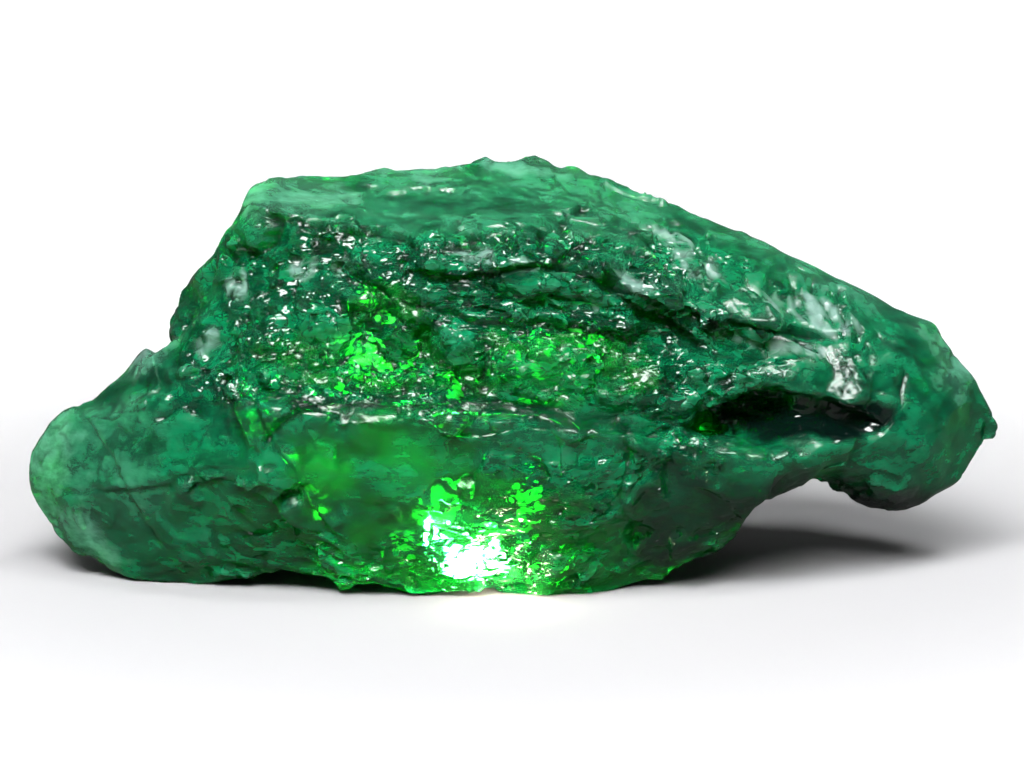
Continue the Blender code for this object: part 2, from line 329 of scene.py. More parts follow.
@dataclass(frozen=True)
class Ledge:
    """A fracture that runs along the front, with the skin stepping down under it, in millimetres."""

    course: tuple[Triple, ...]
    upper: float
    lower: float
    width: float
    crack: float
    reach: float
    slit: float = 0.3
    ragged: float = 0.35
    taper: float = 0.12
    lip: float = 0.15
    below: float = 0.2
    blackest: float = 0.3

    def lie(self, points: Array) -> tuple[Array, Array, Array]:
        """Where each place lies beside the course.

        Args:
            points: Places in millimetres.

        Returns:
            The height above the course, the distance in depth from it, and how far along it is, 0 to 1.
        """
        course = np.array(self.course, float)
        lengths = np.linalg.norm(np.diff(course[:, [0, 2]], axis=0), axis=1)
        starts = np.concatenate([[0.0], np.cumsum(lengths)])
        best = np.full(len(points), np.inf)
        above, depth, along = np.zeros((3, len(points)))
        for index, (start, end) in enumerate(itertools.pairwise(course)):
            run = (end - start)[[0, 2]]
            offset = (points - start)[:, [0, 2]]
            share = np.clip(offset @ run / (run @ run), 0, 1)
            gap = offset - share[:, None] * run
            distance = np.linalg.norm(gap, axis=1)
            closer = distance < best
            side = np.sign(run[0] * offset[:, 1] - run[1] * offset[:, 0])
            best[closer] = distance[closer]
            above[closer] = (side * distance)[closer]
            depth[closer] = (points[:, 1] - start[1] - share * (end - start)[1])[closer]
            along[closer] = ((starts[index] + share * lengths[index]) / starts[-1])[closer]
        return above, np.abs(depth), along

    def step(self, points: Array, grain: Array) -> tuple[Array, Array]:
        """The relief of the step, and the darkness of its crack, which also paints shade into the groove.

        Args:
            points: Places in millimetres.
            grain: Noise that makes the line ragged.

        Returns:
            One height in millimetres and one darkness from 0 to 1 for each place.
        """
        above, depth, along = self.lie(points)
        above = above + self.ragged * grain
        felt = 1 - fade(depth, 0.7 * self.reach, self.reach)
        felt = felt * fade(along, 0.0, self.taper) * (1 - fade(along, 1 - self.taper, 1.0))
        over = fade(above, -self.lip, self.lip)
        high = self.upper * np.exp(-np.maximum(above, 0) / self.width) * over
        low = self.lower * np.exp(np.minimum(above, 0) / self.width) * (1 - over)
        groove = np.exp(-(((above + self.below) / self.slit) ** 2))
        return felt * (high - low - self.crack * groove), felt * groove * min(1.0, self.crack / self.blackest)


LEDGES = tuple(Ledge(*row) for row in (
    (((-28, -15, 24), (-23.5, -16, 23.8), (-19, -18.5, 23.4), (-14.5, -19, 23.2), (-9, -20, 23.4),
      (-3.5, -18, 23), (2, -18, 22.5), (6, -18, 21.5), (13, -14.5, 20)), -0.4, -0.3, 1.6, 0.4, 7, 0.75),
    (((-12, -13.5, 37), (-9, -14, 36.9), (-6.5, -13.5, 36.2), (-3.5, -14.3, 36.6), (0.5, -15, 37.6),
      (5, -14.7, 37.9), (9.5, -14.7, 36.4), (15, -13.5, 33.8), (21, -11.5, 31.2), (27.5, -10.5, 29.9),
      (32.5, -7.5, 28.7), (37.5, -6.5, 27.6)), 0.35, 0.6, 1.8, 0.6, 6),
    (((-31, -3, 42.3), (-27.5, -6, 42.3), (-24, -7.5, 41.6), (-19.5, -7.8, 41), (-15, -9.5, 40.4),
      (-9, -11.5, 39.4), (-3.5, -10, 39.7), (2, -9, 40), (6, -6.5, 40.6)), 0.35, 0.45, 1.5, 0.15, 6),
    (((6.5, -3, 41.5), (5.6, -6, 40.3), (6.5, -11, 38.7), (9, -14, 36.8)), 0.25, 0.3, 1.2, 0.35, 5),
    (((9, -14, 36.5), (12, -13.5, 34), (16, -11.5, 31.5), (18.5, -10.8, 29.8), (22, -10, 27.5)),
     0.3, 0.5, 1.5, 0.5, 5),
    (((-13, -12.5, 33.8), (-9, -13.8, 33), (-3, -13.6, 31.6), (3, -14.2, 31.7), (9.5, -13.5, 30.5),
      (15, -13, 28.5)), 0.25, 0.45, 1.5, 0.4, 5),
    (((36.8, -3, 33), (37.2, -4.5, 30.5), (37, -6, 27.6)), 0.4, 0.4, 1.5, 0.1, 5),
    (((-53, -3, 10.5), (-48, -6.5, 11), (-42, -10, 12), (-36, -13, 13), (-30, -15.5, 14.5)),
     0.12, 0.15, 1.6, 0.12, 6, 0.22),
    (((-50, -4, 20), (-46, -7.5, 16.5), (-43, -10, 12.5), (-41, -10, 8), (-38, -9, 4)),
     0.1, 0.15, 1.5, 0.12, 6, 0.22),
    (((-28, -15, 24), (-27, -17.5, 20), (-24, -18, 16), (-22, -17, 11), (-18, -15, 6)),
     0.15, 0.25, 1.8, 0.15, 6, 0.25),
    (((-3, -18.5, 22.5), (-1.5, -19, 19), (-4, -18.5, 16), (-6, -17, 12)), 0.15, 0.2, 1.5, 0.15, 6, 0.22),
    (((12, -17, 20.5), (13.5, -17, 17), (12, -16.5, 12.5), (14, -14, 8), (13, -11, 3)),
     0.2, 0.3, 1.8, 0.2, 6, 0.25),
))


@dataclass(frozen=True)
class Cracks:
    """A network of healed cracks between cells of a pitch, in millimetres."""

    pitch: float
    width: float
    depth: float
    wander: float
    gap: float
    seed: int
    stretch: Triple = (1.3, 1.0, 0.9)
    turn: float = 18.0
    thinning: float = 0.25

    def edge_distance(self, points: Array) -> Array:
        """How far each place is from the nearest border between two cells.

        Args:
            points: Places in millimetres.

        Returns:
            One distance in millimetres for each place.
        """
        bend = [layered_noise(points, 0.8 * self.pitch, self.seed + 10 * shift, 3) for shift in (1, 2, 3)]
        bent = points + self.wander * np.stack(bend, axis=1)
        at = bent @ turning(self.turn) / self.stretch / self.pitch
        base = np.floor(at)
        gaps = []
        nearest, home = np.full(len(points), np.inf), np.zeros_like(at)
        for neighbour in itertools.product((-1, 0, 1), repeat=3):
            cell = base + neighbour
            spot = np.stack([cell_random(cell, self.seed + 31 * shift) for shift in (1, 2, 3)], axis=1)
            gap = cell + spot - at
            gaps.append(gap)
            distance = np.einsum("ij,ij->i", gap, gap)
            closer = distance < nearest
            nearest[closer] = distance[closer]
            home[closer] = gap[closer]
        border = np.full(len(points), np.inf)
        for gap in gaps:
            across = gap - home
            apart = np.linalg.norm(across, axis=1)
            reach = 0.5 * np.einsum("ij,ij->i", gap + home, across) / np.maximum(apart, 1e-6)
            border = np.where(apart > 1e-6, np.minimum(border, reach), border)
        return border * self.pitch

    def mask(self, points: Array, share: Array) -> Array:
        """Where the cracks run.

        Args:
            points: Places in millimetres.
            share: How much each place may crack.

        Returns:
            1 on a crack and 0 off it, times the share.
        """
        mask = np.zeros(len(points))
        felt = share > 0.02
        near = points[felt]
        line = 1 - fade(self.edge_distance(near), 0.3 * self.width, self.width)
        kept = layered_noise(near, 1.2 * self.pitch, self.seed + 90, 2)
        kept = fade(kept, self.gap, self.gap + self.thinning)
        mask[felt] = line * kept * share[felt]
        return mask


NETWORKS = (
    Cracks(6.5, 0.28, 0.14, 3.2, -0.15, 301),
    Cracks(2.8, 0.22, 0.05, 1.6, 0.15, 302),
)


@dataclass(frozen=True)
class Chips:
    """One round of chips struck off the skin: shallow bowls with crisp rims, in millimetres."""

    spacing: float
    width: float
    depth: float
    tilt: float
    seed: int
    where: Region
    least: float = 0.0
    inside: bool = True
    stretch: Triple = (1.0, 1.0, 1.0)
    turn: float = 0.0
    widths: Pair = (0.55, 1.4)
    depths: Pair = (0.4, 1.3)
    rim: Pair = (1.25, 1.5)
    deepest: Pair = (1.6, 2.6)

    def share(self, places: Array) -> Array:
        """How likely a chip is struck at each place."""
        share = self.where.share(places)
        return self.least + (1 - self.least) * (share if self.inside else 1 - share)

    def strike(self, skin: CrystalSkin, solid: Solid) -> int:
        """Strikes the chips off the skin.

        Args:
            skin: The skin, whose points move.
            solid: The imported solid, over which the chips are scattered.

        Returns:
            The number of chips.
        """
        dice = np.random.default_rng(self.seed)
        places = solid.scatter(int(solid.area / self.spacing**2), dice)
        places = places[dice.random(len(places)) < self.share(places)]
        turn, stretch = turning(self.turn), np.array(self.stretch)
        before = skin.points.copy()
        for place in places:
            width = self.width * dice.uniform(*self.widths)
            depth = self.depth * dice.uniform(*self.depths)
            wobble = dice.normal(size=3)
            reach = self.rim[1] * width * stretch.max()
            near = np.array([found[1] for found in skin.tree.find_range(place, reach)])
            if len(near) < 4:
                continue
            nearest = skin.tree.find(place)[1]
            lean = unit(unit((skin.normals[nearest] @ turn) * stretch) + self.tilt * wobble)
            local = (skin.points[near] - before[nearest]) @ turn / stretch
            radius = (width**2 + depth**2) / (2 * depth)
            away = local - lean * (radius - depth)
            distance = np.linalg.norm(away, axis=1)
            edge = 1 - fade(np.linalg.norm(local, axis=1), self.rim[0] * width, self.rim[1] * width)
            push = np.maximum(radius - distance, 0)
            shallow = 1 - fade(push, self.deepest[0] * depth, self.deepest[1] * depth)
            push *= edge * skin.firm[near] * shallow / distance
            skin.points[near] += (away * push[:, None] * stretch) @ turn.T
        return len(places)


CHIPPING = (
    Chips(9.0, 7.0, 0.40, 0.03, 11, SMOOTH, inside=False, least=0.4),
    Chips(5.0, 4.0, 0.42, 0.08, 12, SMOOTH, inside=False, least=0.04),
    Chips(5.0, 4.0, 0.10, 0.02, 13, SMOOTH),
    Chips(2.8, 2.3, 0.36, 0.14, 14, SMOOTH, inside=False, least=0.02),
    Chips(2.4, 2.3, 0.32, 0.10, 15, BLOCKY, stretch=(1.4, 1, 0.8), turn=12),
    Chips(1.7, 1.7, 0.40, 0.20, 16, HACKLY, turn=-20, stretch=(1.4, 1, 0.8)),
    Chips(1.4, 1.2, 0.20, 0.10, 17, STREAKS, stretch=(3.2, 1, 0.7), turn=4),
    Chips(1.1, 1.0, 0.18, 0.12, 18, COMBED, stretch=(0.6, 1, 2.2), turn=-14),
    Chips(1.8, 1.6, 0.40, 0.18, 19, GLASSY),
    Chips(1.6, 1.1, 0.10, 0.10, 20, SMOOTH, inside=False, least=0.03),
    Chips(1.0, 0.85, 0.20, 0.20, 21, HACKLY),
    Chips(1.0, 0.8, 0.18, 0.18, 22, GLASSY),
)


class Solid:
    """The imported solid, over which chips are scattered evenly."""

    def __init__(self) -> None:
        """Reads the solid's triangles, in millimetres."""
        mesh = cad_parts[NODE].data
        mesh.calc_loop_triangles()
        corners = np.empty(3 * len(mesh.loop_triangles), np.int32)
        mesh.loop_triangles.foreach_get("vertices", corners)
        self.corners = (vectors_of(mesh, "co") / MM)[corners.reshape(-1, 3)]
        sides = self.corners[:, 1:] - self.corners[:, :1]
        areas = np.linalg.norm(np.cross(sides[:, 0], sides[:, 1]), axis=1) / 2
        self.area = float(areas.sum())
        self.weights = np.cumsum(areas) / self.area

    def scatter(self, count: int, dice: np.random.Generator) -> Array:
        """Places spread evenly over the solid.

        Args:
            count: How many.
            dice: The seeded random numbers.

        Returns:
            The places in millimetres.
        """
        chosen = self.corners[np.searchsorted(self.weights, dice.random(count))]
        first, second = np.sqrt(dice.random(count)), dice.random(count)
        shares = np.stack([1 - first, first * (1 - second), first * second], axis=1)
        return np.einsum("ij,ijk->ik", shares, chosen)


class Mark(Enum):
    """What is stored on the skin for its beryl."""

    # Mint of cloudy thin beryl, and painted light on the top bevel, the shoulder and the ends.
    MINT_AND_LIT = "mint"
    CLEAR = "clear"
    # Painted shade in the hollow and under the arm.
    DARK = "dark"
    # Pale streaks and painted glints.
    PALE_AND_GLINTS = "pale"
    SMOOTH = "smooth"
    # Dark cracks, and painted shade in crevices and under the ledges.
    CREVICE = "crevice"
    # Painted highlight on edges.
    EDGE = "edge"
    CLOUDS = "clouds"


@dataclass
class CrystalSkin:
    """The crystal's fine surface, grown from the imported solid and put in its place.

    Its points are in millimetres. Its grain makes borders ragged, and firm says how freely each point may
    move, from 0 where it rests to 1.
    """

    pitch: float = 0.30
    triangles: int = 190_000
    quick_pitch: float = 0.42
    foot: Pair = (0.05, 0.7)
    smoothing: int = 8
    extra_smoothing: int = 24
    crest_smoothing: int = 8
    back: float = -0.85
    swelling: float = 0.1
    evening: int = 60
    whole: float = 0.25
    healed: float = 0.6
    settling: float = 0.3
    calm: float = 0.45
    sharpest: float = 0.05
    crease: float = 24.0
    crumb: int = 100

    def __post_init__(self) -> None:
        """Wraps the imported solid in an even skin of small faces."""
        piece = bpy.data.objects.new("skin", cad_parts[NODE].data.copy())
        bpy.context.scene.collection.objects.link(piece)
        wrap = piece.modifiers.new("Wrap", "REMESH")
        wrap.mode = "VOXEL"
        wrap.voxel_size = self.pitch * MM
        self.mesh = self.worked(piece)
        bpy.data.objects.remove(piece)
        self.points = vectors_of(self.mesh, "co") / MM
        self.grain = smooth_noise(self.points, 2.5, 5) + 0.5 * smooth_noise(self.points, 0.9, 6)
        self.firm = fade(self.points[:, 2], *self.foot)
        self.dark = np.zeros(len(self.points))

    @staticmethod
    def worked(piece: bpy.types.Object) -> Mesh:
        """A new mesh of the piece as its modifiers leave it."""
        bpy.context.view_layer.update()
        return bpy.data.meshes.new_from_object(piece.evaluated_get(bpy.context.evaluated_depsgraph_get()))

    def store(self) -> None:
        """Puts the points in the mesh, and finds the way that each one faces."""
        self.mesh.vertices.foreach_set("co", (self.points * MM).astype(np.float32).ravel())
        self.mesh.update()
        self.normals = vectors_of(self.mesh, "normal")

    def share(self, region: Region) -> Array:
        """How much each point belongs to a region, from 0 to 1."""
        return region.share(self.points, self.grain)

    def lift(self, height: Array | float) -> None:
        """Moves each point out by a height where the skin may move."""
        self.points = self.points + self.normals * (height * self.firm)[:, None]

    def middles(self, values: Array) -> Array:
        """The mean of each vertex's neighbours.

        Args:
            values: One row for each vertex.

        Returns:
            One row for each vertex.
        """
        ends = np.empty(2 * len(self.mesh.edges), np.int32)
        self.mesh.edges.foreach_get("vertices", ends)
        first, second = ends.reshape(-1, 2).T
        size = len(values)
        count = np.bincount(first, minlength=size) + np.bincount(second, minlength=size)
        total = [
            np.bincount(first, column[second], size) + np.bincount(second, column[first], size)
            for column in values.T
        ]
        return np.stack(total, axis=1) / np.maximum(count, 1)[:, None]

    def relax(self, rounds: int, share: Array | float = 1.0) -> None:
        """Evens the skin out with little loss of size.

        Args:
            rounds: How often each point moves towards its neighbours' middle and part of the way back.
            share: How much of it each point feels, from 0 to 1.
        """
        for _ in range(rounds):
            for pull in (1.0, self.back):
                felt = (pull * (0.5 * self.firm * share))[:, None]
                self.points = self.points + felt * (self.middles(self.points) - self.points)

    def shape(self) -> None:
        """Smooths the skin, most where it cleaved clean, then pulls and shaves it to its outline."""
        self.relax(self.smoothing)
        self.relax(self.extra_smoothing, self.share(SMOOTH))
        self.store()
        self.lift(self.swelling)
        for change in (*NUDGES, *FACETS):
            self.points = change.apply(self.points)
        self.store()

    def chip(self) -> None:
        """Strikes every round of chips off, then swells the skin back to its size."""
        self.tree = kdtree.KDTree(len(self.points))
        for index, point in enumerate(self.points.tolist()):
            self.tree.insert(point, index)
        self.tree.balance()
        solid, before = Solid(), self.points.copy()
        struck = sum(chips.strike(self, solid) for chips in CHIPPING)
        sunk = np.einsum("ij,ij->i", before - self.points, self.normals)[:, None]
        for _ in range(self.evening):
            sunk = self.middles(sunk)
        self.points += self.normals * sunk * self.firm[:, None]
        log.info("crystal skin: %d chips", struck)

    def crack(self) -> None:
        """Cuts and darkens the healed cracks, and steps the skin at the ledges, with painted shade in their
        grooves.
        """
        share = self.whole + (1 - self.whole) * self.share(SMOOTH)
        for network in NETWORKS:
            mask = network.mask(self.points, share)
            self.lift(-network.depth * mask)
            self.dark = np.maximum(self.dark, self.healed * mask)
        for ledge in LEDGES:
            # The groove under each ledge is darkened as a crack and as painted shade.
            height, darkness = ledge.step(self.points, self.grain)
            self.lift(height)
            self.dark = np.maximum(self.dark, darkness)

    def fit(self) -> None:
        """Brings the skin back to the solid's length and height, and down to its resting plane."""
        for axis in (0, 2):
            low, high = (1000 * float(corner[axis]) for corner in CAD_BOX)
            row = self.points[:, axis]
            self.points[:, axis] = low + (row - row.min()) * (high - low) / (row.max() - row.min())
        self.points[:, 2] = np.maximum(self.points[:, 2], 0.0)

    def settle(self) -> None:
        """Takes the harshness off the skin, most along its crest."""
        middles = self.middles(self.points)
        self.points = self.points + self.settling * self.firm[:, None] * (middles - self.points)
        self.relax(self.crest_smoothing, np.maximum(self.share(CREST), self.calm * self.share(SMOOTH)))
        self.store()

    def folds(self) -> Array:
        """How sharply the skin folds, from -1 in a crevice to 1 on an edge."""
        near = np.einsum("ij,ij->i", self.points - self.middles(self.points), self.normals)[:, None]
        for _ in range(2):
            near = self.middles(near)
        return np.clip(near[:, 0] / self.sharpest, -1, 1)

    def paint(self) -> None:
        """Stores mint and painted light, clear, painted shade, pale and painted glints, smooth, crevice
        shade, edges and clouds.
        """
        folds = self.folds()
        regions = {Mark.CLEAR: CLEAR, Mark.DARK: DARK, Mark.PALE_AND_GLINTS: PALE_AND_GLINTS, Mark.SMOOTH: SMOOTH}
        values = {mark: self.share(region) for mark, region in regions.items()}
        # Painted shade: full in the hollow, fainter on the lower right, the flange and the arm's underside.
        values[Mark.DARK] = np.maximum(values[Mark.DARK], 0.8 * self.share(SHADED))
        # Combed streaks through the pale streaks and painted glints.
        combs = self.points @ turning(-14) / (0.55, 1, 3)
        values[Mark.PALE_AND_GLINTS] *= fade(layered_noise(combs, 1.2, 501, 2), -0.25, 0.3)
        # Painted shade where the skin folds inward, over the dark cracks and the ledges' grooves.
        values[Mark.CREVICE] = np.maximum(self.dark, np.clip(-1.3 * folds, 0, 1))
        # Painted highlight: lighter where the skin folds outward.
        values[Mark.EDGE] = np.clip(folds, 0, 1)
        beds = self.points @ turning(18) / (2.2, 1, 1)
        clouds = fade(layered_noise(beds, 3.2, 401, 5), -0.28, 0.28)
        clouds = 0.5 + (clouds - 0.5) * (1 - 0.35 * values[Mark.SMOOTH])
        values[Mark.CLOUDS] = clouds
        # Mint wash, partly cloud and partly painted light on the top bevel, the shoulder and the ends.
        misty_and_lit = self.share(CLOUDY_AND_LIT) * (0.04 + 0.3 * clouds)
        values[Mark.MINT_AND_LIT] = np.maximum(misty_and_lit, self.share(MINT_AND_LIT) * (0.6 + 0.4 * clouds))
        for mark, value in values.items():
            layer = self.mesh.attributes.new(mark.value, "FLOAT", "POINT")
            layer.data.foreach_set("value", value.astype(np.float32))

    def drop_crumbs(self) -> None:
        """Deletes the few loose triangles that the thinning pinches off."""
        grid = bmesh.new()
        grid.from_mesh(self.mesh)
        left = set(grid.verts)
        while left:
            island = [left.pop()]
            for vertex in island:
                joined = {edge.other_vert(vertex) for edge in vertex.link_edges} & left
                left -= joined
                island.extend(joined)
            if len(island) < self.crumb:
                bmesh.ops.delete(grid, geom=island, context="VERTS")
        grid.to_mesh(self.mesh)
        grid.free()

    def build(self) -> bpy.types.Object:
        """Makes the crystal's visible piece, under its count of triangles and with its creases."""
        self.shape()
        self.chip()
        self.crack()
        self.fit()
        self.settle()
        self.paint()
        crystal = bpy.data.objects.new("emerald_crystal_skin", self.mesh)
        bpy.context.scene.collection.objects.link(crystal)
        faces = 2 * len(self.mesh.polygons)
        if faces > self.triangles:
            crystal.modifiers.new("Lighten", "DECIMATE").ratio = self.triangles / faces
            self.mesh = self.worked(crystal)
            crystal.modifiers.clear()
            crystal.data = self.mesh
            self.drop_crumbs()
        self.mesh.shade_smooth()
        self.mesh.set_sharp_from_angle(angle=math.radians(self.crease))
        faces = sum(len(face.vertices) - 2 for face in self.mesh.polygons)
        log.info("%s: %d triangles", crystal.name, faces)
        return crystal


class Wiring:
    """Short-hand for laying shader nodes in one tree."""

    def __init__(self, tree: Tree) -> None:
        """Starts on a tree."""
        self.tree = tree

    def feed(self, node: Node, given: Given) -> None:
        """Feeds a node's inputs.

        Args:
            node: The node.
            given: A socket to link or a value to set, for each input's name or number.
        """
        for name, value in given.items():
            socket = node.inputs[name]
            if isinstance(value, Socket):
                self.tree.links.new(value, socket)
            elif isinstance(value, tuple) and socket.type == "RGBA":
                socket.default_value = (*value, 1.0)
            else:
                socket.default_value = value

    def node(self, kind: str, given: Given | None = None, **settings: object) -> Node:
        """Adds a node.

        Args:
            kind: The kind of shader node.
            given: What its inputs are fed.
            settings: Its properties.

        Returns:
            The node.
        """
        made = self.tree.nodes.new(f"ShaderNode{kind}")
        for name, value in settings.items():
            setattr(made, name, value)
        self.feed(made, given or {})
        return made

    def math(self, operation: str, first: object, second: object, clamp: bool = False) -> Socket:
        """Adds a sum of two numbers."""
        return self.node("Math", {0: first, 1: second}, operation=operation, use_clamp=clamp).outputs[0]

    def times(self, first: object, second: object) -> Socket:
        """Adds a product."""
        return self.math("MULTIPLY", first, second)

    def most(self, first: object, second: object) -> Socket:
        """Adds the larger of two numbers."""
        return self.math("MAXIMUM", first, second)

    def vector(self, operation: str, first: object, second: object) -> Socket:
        """Adds a sum of two vectors, or of a vector and its scale."""
        other = "Scale" if operation == "SCALE" else 1
        return self.node("VectorMath", {0: first, other: second}, operation=operation).outputs[0]

    def ramp(self, value: Socket, start: float, end: object, low: float = 0.0, high: float = 1.0) -> Socket:
        """Adds a smooth step from low to high."""
        given = {"Value": value, "From Min": start, "From Max": end, "To Min": low, "To Max": high}
        return self.node("MapRange", given, interpolation_type="SMOOTHSTEP").outputs[0]

    def mix(self, share: Socket, first: object, second: object) -> Socket:
        """Adds a mix of two colours."""
        return self.node("Mix", {0: share, 6: first, 7: second}, data_type="RGBA").outputs[2]

    def noise(self, place: Socket, pitch: float, detail: float, rough: float) -> Node:
        """Adds a noise texture whose pitch is in millimetres."""
        given = {"Vector": place, "Scale": 1 / pitch, "Detail": detail, "Roughness": rough}
        return self.node("TexNoise", given)


def new_group(name: str, inputs: tuple[str, ...], outputs: tuple[str, ...]) -> tuple[Wiring, object, object]:
    """Starts a node group whose first input is the place and whose other sockets are numbers.

    Args:
        name: The group's name.
        inputs: The names of its number inputs.
        outputs: The names of its number outputs.

    Returns:
        Its wiring, the sockets that come in, and the node that takes those that go out.
    """
    tree = bpy.data.node_groups.new(name, "ShaderNodeTree")
    sockets = [("Place", "INPUT", "Vector"), *((each, "INPUT", "Float") for each in inputs)]
    for socket, side, kind in (*sockets, *((each, "OUTPUT", "Float") for each in outputs)):
        tree.interface.new_socket(socket, in_out=side, socket_type=f"NodeSocket{kind}")
    return Wiring(tree), tree.nodes.new("NodeGroupInput").outputs, tree.nodes.new("NodeGroupOutput")


def crack_group() -> Tree:
    """A network of hair cracks: thin lines between cells.

    Returns:
        The group. Pitch and Width are in millimetres.
    """
    wire, come, out = new_group("hair_cracks", ("Pitch", "Width"), ("Mask",))
    scale = wire.math("DIVIDE", 1.0, come["Pitch"])
    cells = wire.node("TexVoronoi", {"Vector": come["Place"], "Scale": scale}, feature="DISTANCE_TO_EDGE")
    distance = wire.times(cells.outputs["Distance"], come["Pitch"])
    wire.feed(out, {"Mask": wire.ramp(distance, 0.0, come["Width"], 1.0, 0.0)})
    return wire.tree


def facet_group() -> Tree:
    """Small broken facets, each with its own lean and tone.

    Returns:
        The group. Pitch is in millimetres, Height in pitches, and Tone is from 0 to 1 for each facet.
    """
    wire, come, out = new_group("broken_facets", ("Pitch",), ("Height", "Tone"))
    scaled = wire.vector("SCALE", come["Place"], wire.math("DIVIDE", 1.0, come["Pitch"]))
    cells = wire.node("TexVoronoi", {"Vector": scaled, "Scale": 1.0}, feature="F1").outputs
    lean = wire.vector("SUBTRACT", cells["Color"], (0.5, 0.5, 0.5))
    offset = wire.vector("SUBTRACT", scaled, cells["Position"])
    slope = wire.node("VectorMath", {0: lean, 1: offset}, operation="DOT_PRODUCT").outputs["Value"]
    tone = wire.node("SeparateXYZ", {0: cells["Color"]}).outputs[0]
    wire.feed(out, {"Height": slope, "Tone": tone})
    return wire.tree


@dataclass(frozen=True)
class Beryl:
    """Emerald beryl: glassy where broken, veiled inside, cloudy mint where thin, with painted light, glints
    and shade.
    """

    deep: Triple = (0.001, 0.078, 0.034)
    green: Triple = (0.003, 0.28, 0.115)
    rich: Triple = (0.001, 0.20, 0.02)
    # Mint of cloudy thin beryl, also the colour of painted light on the top and ends.
    mint: Triple = (0.17, 0.52, 0.36)
    # Pale fracture streaks, and the colour of painted glints.
    pale: Triple = (0.30, 0.52, 0.45)
    # The dark of cracks, and of painted shade.
    crack_and_shade: Triple = (0.002, 0.011, 0.008)
    roughness: float = 0.25
    glossy: float = 0.09
    transmission: float = 0.42
    ior: float = 1.58
    body: Triple = (0.22, 0.84, 0.50)
    density: float = 200.0
    bed_turn: Triple = (0.0, math.radians(14), 0.0)
    bed_scale: Triple = (0.62, 1.0, 1.25)
    grain_pitch: float = 1.7
    bend_pitch: float = 1.5
    bend: float = 1.8
    facet_pitch: float = 1.5
    crack_pitch: float = 1.9
    crack_width: float = 0.06
    mottling: float = 0.45
    facet_tone: float = 1.3
    swell_pitch: float = 2.4
    relief: float = 1.5
    facet_lean: Pair = (0.03, 0.75)
    swell: Pair = (0.20, 0.5)

    def material(self) -> bpy.types.Material:
        """Builds the finish.

        Returns:
            The crystal's material.
        """
        made = bpy.data.materials.new(SLOT)
        made.use_nodes = True
        wire = Wiring(made.node_tree)
        marks = {mark: wire.node("Attribute", attribute_name=mark.value).outputs["Fac"] for mark in Mark}
        rough = wire.math("SUBTRACT", 1.0, marks[Mark.SMOOTH])
        bedded = self.bedded(wire)
        bend = wire.noise(bedded, self.bend_pitch, 1.0, 0.6).outputs["Color"]
        bent = wire.vector("ADD", bedded, wire.vector("SCALE", bend, self.bend))
        facets = wire.node("Group", node_tree=facet_group())
        wire.feed(facets, {"Place": bent, "Pitch": self.facet_pitch})
        cracks = wire.node("Group", node_tree=crack_group())
        wire.feed(cracks, {"Place": bent, "Pitch": self.crack_pitch, "Width": self.crack_width})
        grain = wire.noise(bedded, self.grain_pitch, 4.0, 0.66).outputs["Fac"]
        mottling = wire.ramp(grain, 0.28, 0.72, -self.mottling, self.mottling)
        mottled = wire.math("ADD", marks[Mark.CLOUDS], mottling)
        tone = wire.times(wire.math("SUBTRACT", facets.outputs["Tone"], 0.5), rough)
        clouds = wire.math("ADD", mottled, wire.times(tone, self.facet_tone), clamp=True)
        lines = wire.times(cracks.outputs["Mask"], rough)
        shader = made.node_tree.nodes["Principled BSDF"]
        wire.feed(shader, {
            "Base Color": self.colour(wire, marks, mottled, clouds, lines),
            "Roughness": self.matt(wire, marks),
            "Normal": self.bump(wire, bedded, facets.outputs["Height"], rough),
        })
        shader.inputs["IOR"].default_value = self.ior
        shader.inputs["Transmission Weight"].default_value = self.transmission
        volume = wire.node("VolumeAbsorption", {"Color": self.body, "Density": self.density}).outputs[0]
        wire.feed(made.node_tree.nodes["Material Output"], {"Volume": volume})
        return made

    def bedded(self, wire: Wiring) -> Socket:
        """The place in millimetres, turned and drawn out along the crystal's bedding.

        Args:
            wire: The material's wiring.

        Returns:
            The socket with the place.
        """
        place = wire.vector("SCALE", wire.node("TexCoord").outputs["Object"], 1 / MM)
        given = {"Vector": place, "Rotation": self.bed_turn, "Scale": self.bed_scale}
        return wire.node("Mapping", given).outputs[0]

    def colour(
        self, wire: Wiring, marks: dict[Mark, Socket], mottled: Socket, clouds: Socket, lines: Socket
    ) -> Socket:
        """Lays the colours over each other, painted light, glints and shade among them.

        Args:
            wire: The material's wiring.
            marks: What is stored on the skin.
            mottled: The clouds with their grain.
            clouds: The clouds with their grain and the facets' tones.
            lines: The hair cracks.

        Returns:
            The socket with the colour.
        """
        colour = wire.mix(clouds, self.deep, self.green)
        cleared = wire.times(marks[Mark.CLEAR], wire.ramp(mottled, 0.1, 1.0, 1.0, 0.5))
        colour = wire.mix(cleared, colour, self.rich)
        # Mint over cloudy thin beryl, painted light on the top and ends, and painted highlights on edges.
        misty_and_lit = wire.math("ADD", marks[Mark.MINT_AND_LIT], wire.times(marks[Mark.EDGE], 0.15), clamp=True)
        misty_and_lit = wire.times(misty_and_lit, wire.ramp(mottled, -0.2, 1.2, 0.35, 1.1))
        colour = wire.mix(misty_and_lit, colour, self.mint)
        # Pale streaks and painted glints.
        colour = wire.mix(marks[Mark.PALE_AND_GLINTS], colour, self.pale)
        lines = wire.times(lines, wire.ramp(mottled, 0.2, 0.9, 0.0, 0.7))
        # Dark cracks, and painted shade in crevices, under the ledges, in the hollow and under the arm.
        shade_and_cracks = wire.most(lines, wire.times(marks[Mark.CREVICE], 0.9))
        shade_and_cracks = wire.most(shade_and_cracks, marks[Mark.DARK])
        return wire.mix(shade_and_cracks, colour, self.crack_and_shade)

